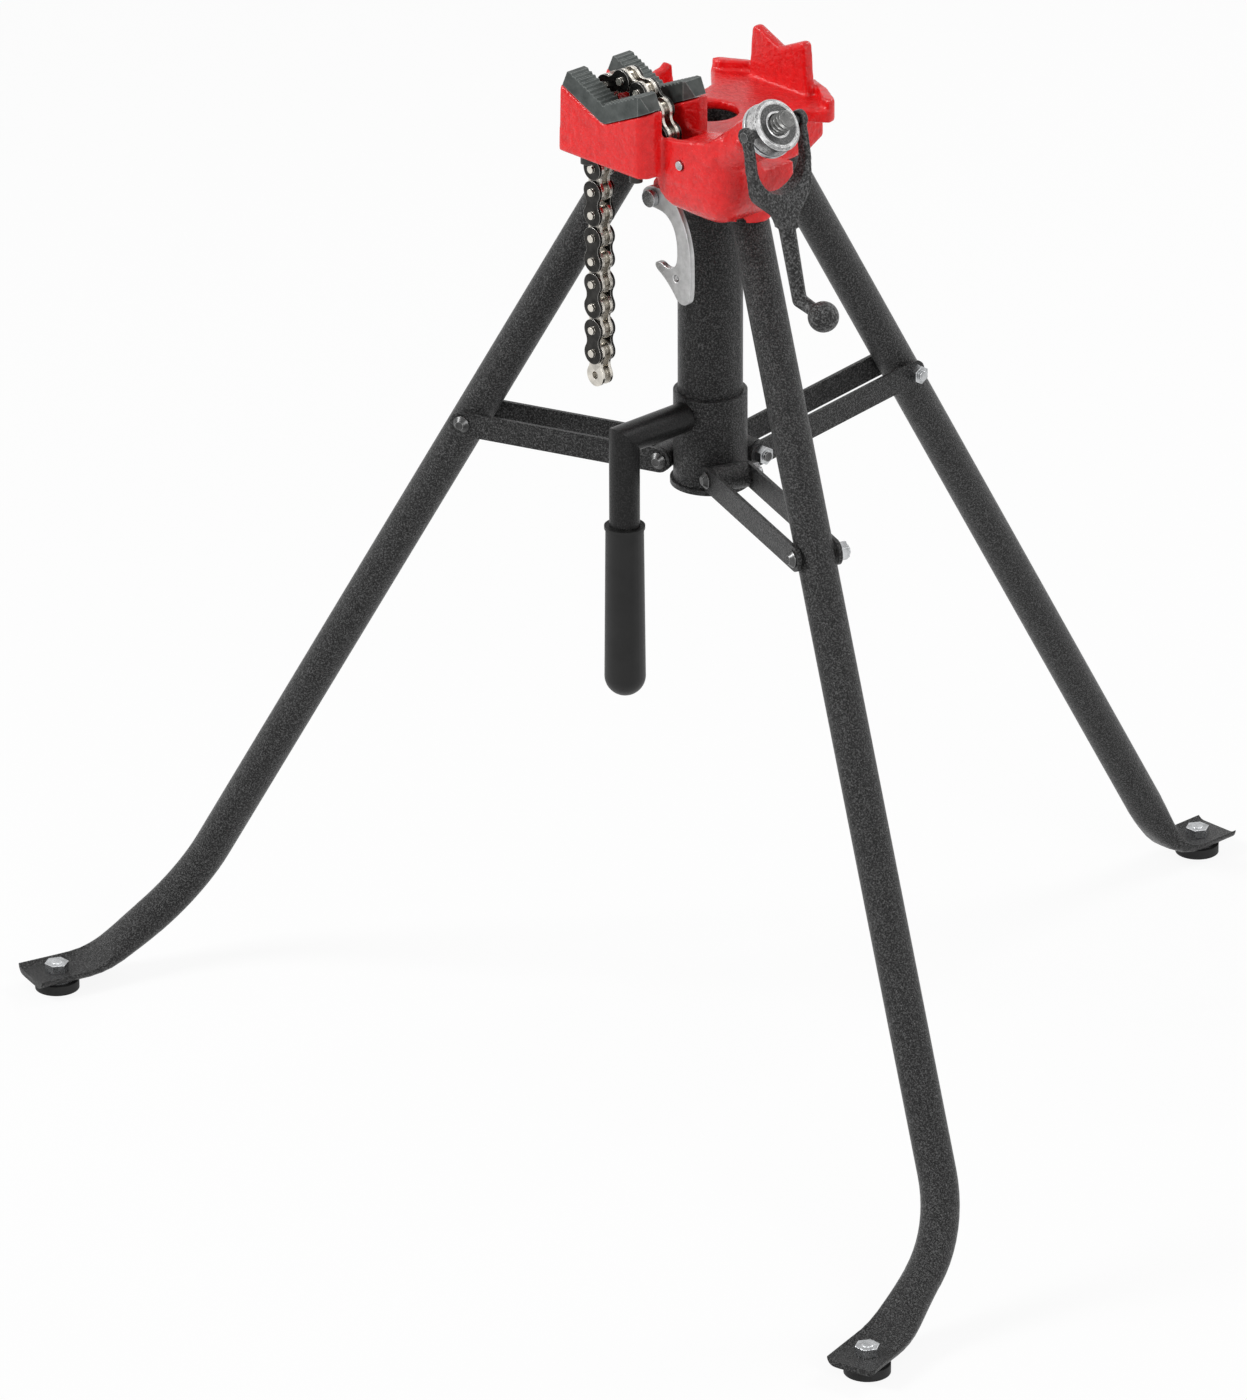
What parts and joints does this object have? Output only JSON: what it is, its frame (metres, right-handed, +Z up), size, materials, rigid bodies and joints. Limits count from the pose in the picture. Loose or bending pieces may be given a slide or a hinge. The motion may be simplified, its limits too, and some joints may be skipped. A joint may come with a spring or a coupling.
{
  "type": "tripod pipe vise stand",
  "caption": "Folding three-legged stand with a cast head, V jaws and a chain tightened by a screw, a V rest behind them and a sliding collar with a carrying handle.",
  "frame": {"origin": "on the floor, midway between the front and rear ends of the three feet, below the centre line of the head", "axes": "+Z is up. A held pipe lies along Y: the jaws are at the -Y end and the V rest and the single leg at the +Y end. +X is the side of the tightening screw and its fork handle"},
  "size_m": [0.9812, 0.9033, 0.8814],
  "materials": {
    "cast_red": "gloss enamel over a sand casting",
    "jaw_steel": "dark oiled alloy steel",
    "black_coat": "black textured powder coat",
    "black_satin": "smooth satin black",
    "vinyl": "matte dipped vinyl",
    "black_oxide": "black oxide",
    "zinc": "bright zinc plate",
    "screw_steel": "dark oiled steel",
    "fork_iron": "black enamelled casting",
    "hook_alloy": "pale satin plate",
    "pad_rubber": "matte black rubber",
    "chain_dark": "dark oiled plates with bright pins",
    "chain_bright": "bright plates and bushings"
  },
  "bodies": {
    "head": {"head_casting": "cast_red", "front_jaw": "jaw_steel", "rear_jaw": "jaw_steel", "jaw_screws": "black_oxide", "centre_tube": "black_coat", "stop_flange": "black_coat", "cross_pin": "zinc", "leg_hinge_pins": "black_oxide", "latch_bolt": "zinc"},
    "latch": {"latch_hook": "hook_alloy"},
    "left_leg": {"left_leg": "black_coat", "left_foot_pad": "pad_rubber", "left_foot_bolt": "zinc", "left_link_pin": "black_oxide"},
    "right_leg": {"right_leg": "black_coat", "right_foot_pad": "pad_rubber", "right_foot_bolt": "zinc", "right_link_pin": "black_oxide"},
    "rear_leg": {"rear_leg": "black_coat", "rear_foot_pad": "pad_rubber", "rear_foot_bolt": "zinc", "rear_link_pin": "black_oxide"},
    "collar": {"collar_sleeve": "black_coat", "collar_lugs": "black_coat", "handle_tube": "black_satin", "handle_grip": "vinyl"},
    "left_links": {"left_link_bars": "black_coat", "left_link_bolts": "zinc"},
    "right_links": {"right_link_bars": "black_coat", "right_link_bolts": "zinc"},
    "rear_links": {"rear_link_bars": "black_coat", "rear_link_bolts": "zinc"},
    "screw": {"chain_screw": "screw_steel", "clevis_pin": "zinc", "chain_link_01": "chain_bright", "chain_link_02": "chain_dark", "chain_link_03": "chain_bright", "chain_link_04": "chain_dark", "chain_link_05": "chain_bright", "chain_link_06": "chain_dark", "chain_link_07": "chain_bright", "chain_link_08": "chain_dark", "chain_link_09": "chain_bright"},
    "nut": {"screw_nut": "zinc", "nut_washer": "zinc"},
    "fork": {"fork_handle": "fork_iron", "fork_pins": "zinc"},
    "chain_10": {"chain_link_10": "chain_dark"},
    "chain_11": {"chain_link_11": "chain_bright"},
    "chain_12": {"chain_link_12": "chain_dark"},
    "chain_13": {"chain_link_13": "chain_bright"},
    "chain_14": {"chain_link_14": "chain_dark"},
    "chain_15": {"chain_link_15": "chain_bright"},
    "chain_16": {"chain_link_16": "chain_dark"},
    "chain_17": {"chain_link_17": "chain_bright"},
    "chain_18": {"chain_link_18": "chain_dark"},
    "chain_19": {"chain_link_19": "chain_bright"}
  },
  "joints": [
    {"name": "left_leg_fold", "type": "hinge", "parent": "head", "child": "left_leg", "pos_m": [-0.05497, -0.15801, 0.78], "axis": [0.3633, -0.9317, 0], "range_deg": [0, 28]},
    {"name": "right_leg_fold", "type": "hinge", "parent": "head", "child": "right_leg", "pos_m": [0.05497, -0.15801, 0.78], "axis": [0.3633, 0.9317, 0], "range_deg": [0, 28]},
    {"name": "rear_leg_fold", "type": "hinge", "parent": "head", "child": "rear_leg", "pos_m": [0, -0.07758, 0.78], "axis": [-1, 0, 0], "range_deg": [0, 16.63]},
    {"name": "collar_slide", "type": "slide", "parent": "head", "child": "collar", "axis": [0, 0, 1], "range_m": [0, 0.12936]},
    {"name": "left_links_turn", "type": "hinge", "parent": "collar", "child": "left_links", "pos_m": [-0.03401, -0.14983, 0.5195], "axis": [0.3633, -0.9317, 0], "range_deg": [0, 80.04]},
    {"name": "right_links_turn", "type": "hinge", "parent": "collar", "child": "right_links", "pos_m": [0.03401, -0.14983, 0.5195], "axis": [0.3633, 0.9317, 0], "range_deg": [0, 80.04]},
    {"name": "rear_links_turn", "type": "hinge", "parent": "collar", "child": "rear_links", "pos_m": [0, -0.10008, 0.5195], "axis": [-1, 0, 0], "range_deg": [0, 62.42]},
    {"name": "latch_swing", "type": "hinge", "parent": "head", "child": "latch", "pos_m": [-0.0125, -0.18358, 0.749], "axis": [0, -1, 0], "range_deg": [0, 30]},
    {"name": "screw_slide", "type": "slide", "parent": "head", "child": "screw", "axis": [0.809, 0, 0.5878], "range_m": [0, 0.013]},
    {"name": "nut_turn", "type": "hinge", "parent": "head", "child": "nut", "pos_m": [0.1513, -0.21758, 0.86062], "axis": [-0.809, 0, -0.5878], "range_deg": [0, 1170]},
    {"name": "fork_swing", "type": "hinge", "parent": "nut", "child": "fork", "pos_m": [0.15089, -0.21758, 0.86032], "axis": [0, -1, 0], "range_deg": [0, 150]},
    {"name": "chain_pin_10", "type": "hinge", "parent": "screw", "child": "chain_10", "pos_m": [-0.03894, -0.21758, 0.79458], "axis": [0, 1, 0], "range_deg": [-12, 12]},
    {"name": "chain_pin_11", "type": "hinge", "parent": "chain_10", "child": "chain_11", "pos_m": [-0.03894, -0.21758, 0.77553], "axis": [0, 1, 0], "range_deg": [-14, 25]},
    {"name": "chain_pin_12", "type": "hinge", "parent": "chain_11", "child": "chain_12", "pos_m": [-0.03894, -0.21758, 0.75648], "axis": [0, 1, 0], "range_deg": [-14, 25]},
    {"name": "chain_pin_13", "type": "hinge", "parent": "chain_12", "child": "chain_13", "pos_m": [-0.03894, -0.21758, 0.73743], "axis": [0, 1, 0], "range_deg": [-14, 25]},
    {"name": "chain_pin_14", "type": "hinge", "parent": "chain_13", "child": "chain_14", "pos_m": [-0.03894, -0.21758, 0.71838], "axis": [0, 1, 0], "range_deg": [-14, 25]},
    {"name": "chain_pin_15", "type": "hinge", "parent": "chain_14", "child": "chain_15", "pos_m": [-0.03894, -0.21758, 0.69933], "axis": [0, 1, 0], "range_deg": [-14, 25]},
    {"name": "chain_pin_16", "type": "hinge", "parent": "chain_15", "child": "chain_16", "pos_m": [-0.03894, -0.21758, 0.68028], "axis": [0, 1, 0], "range_deg": [-14, 25]},
    {"name": "chain_pin_17", "type": "hinge", "parent": "chain_16", "child": "chain_17", "pos_m": [-0.03894, -0.21758, 0.66123], "axis": [0, 1, 0], "range_deg": [-14, 25]},
    {"name": "chain_pin_18", "type": "hinge", "parent": "chain_17", "child": "chain_18", "pos_m": [-0.03894, -0.21758, 0.64218], "axis": [0, 1, 0], "range_deg": [-14, 25]},
    {"name": "chain_pin_19", "type": "hinge", "parent": "chain_18", "child": "chain_19", "pos_m": [-0.03894, -0.21758, 0.62313], "axis": [0, 1, 0], "range_deg": [-14, 25]}
  ],
  "couplings": [
    {"joint": "right_leg_fold", "follows": "left_leg_fold", "ratio": 1},
    {"joint": "rear_leg_fold", "follows": "left_leg_fold", "ratio": 0.594},
    {"joint": "collar_slide", "follows": "left_leg_fold", "m_per_rad": 0.26471},
    {"joint": "left_links_turn", "follows": "left_leg_fold", "ratio": 2.8587},
    {"joint": "right_links_turn", "follows": "left_leg_fold", "ratio": 2.8587},
    {"joint": "rear_links_turn", "follows": "left_leg_fold", "ratio": 2.2291},
    {"joint": "latch_swing", "follows": "left_leg_fold", "ratio": 1.0714},
    {"joint": "screw_slide", "follows": "nut_turn", "m_per_rad": 0.00063662}
  ]
}
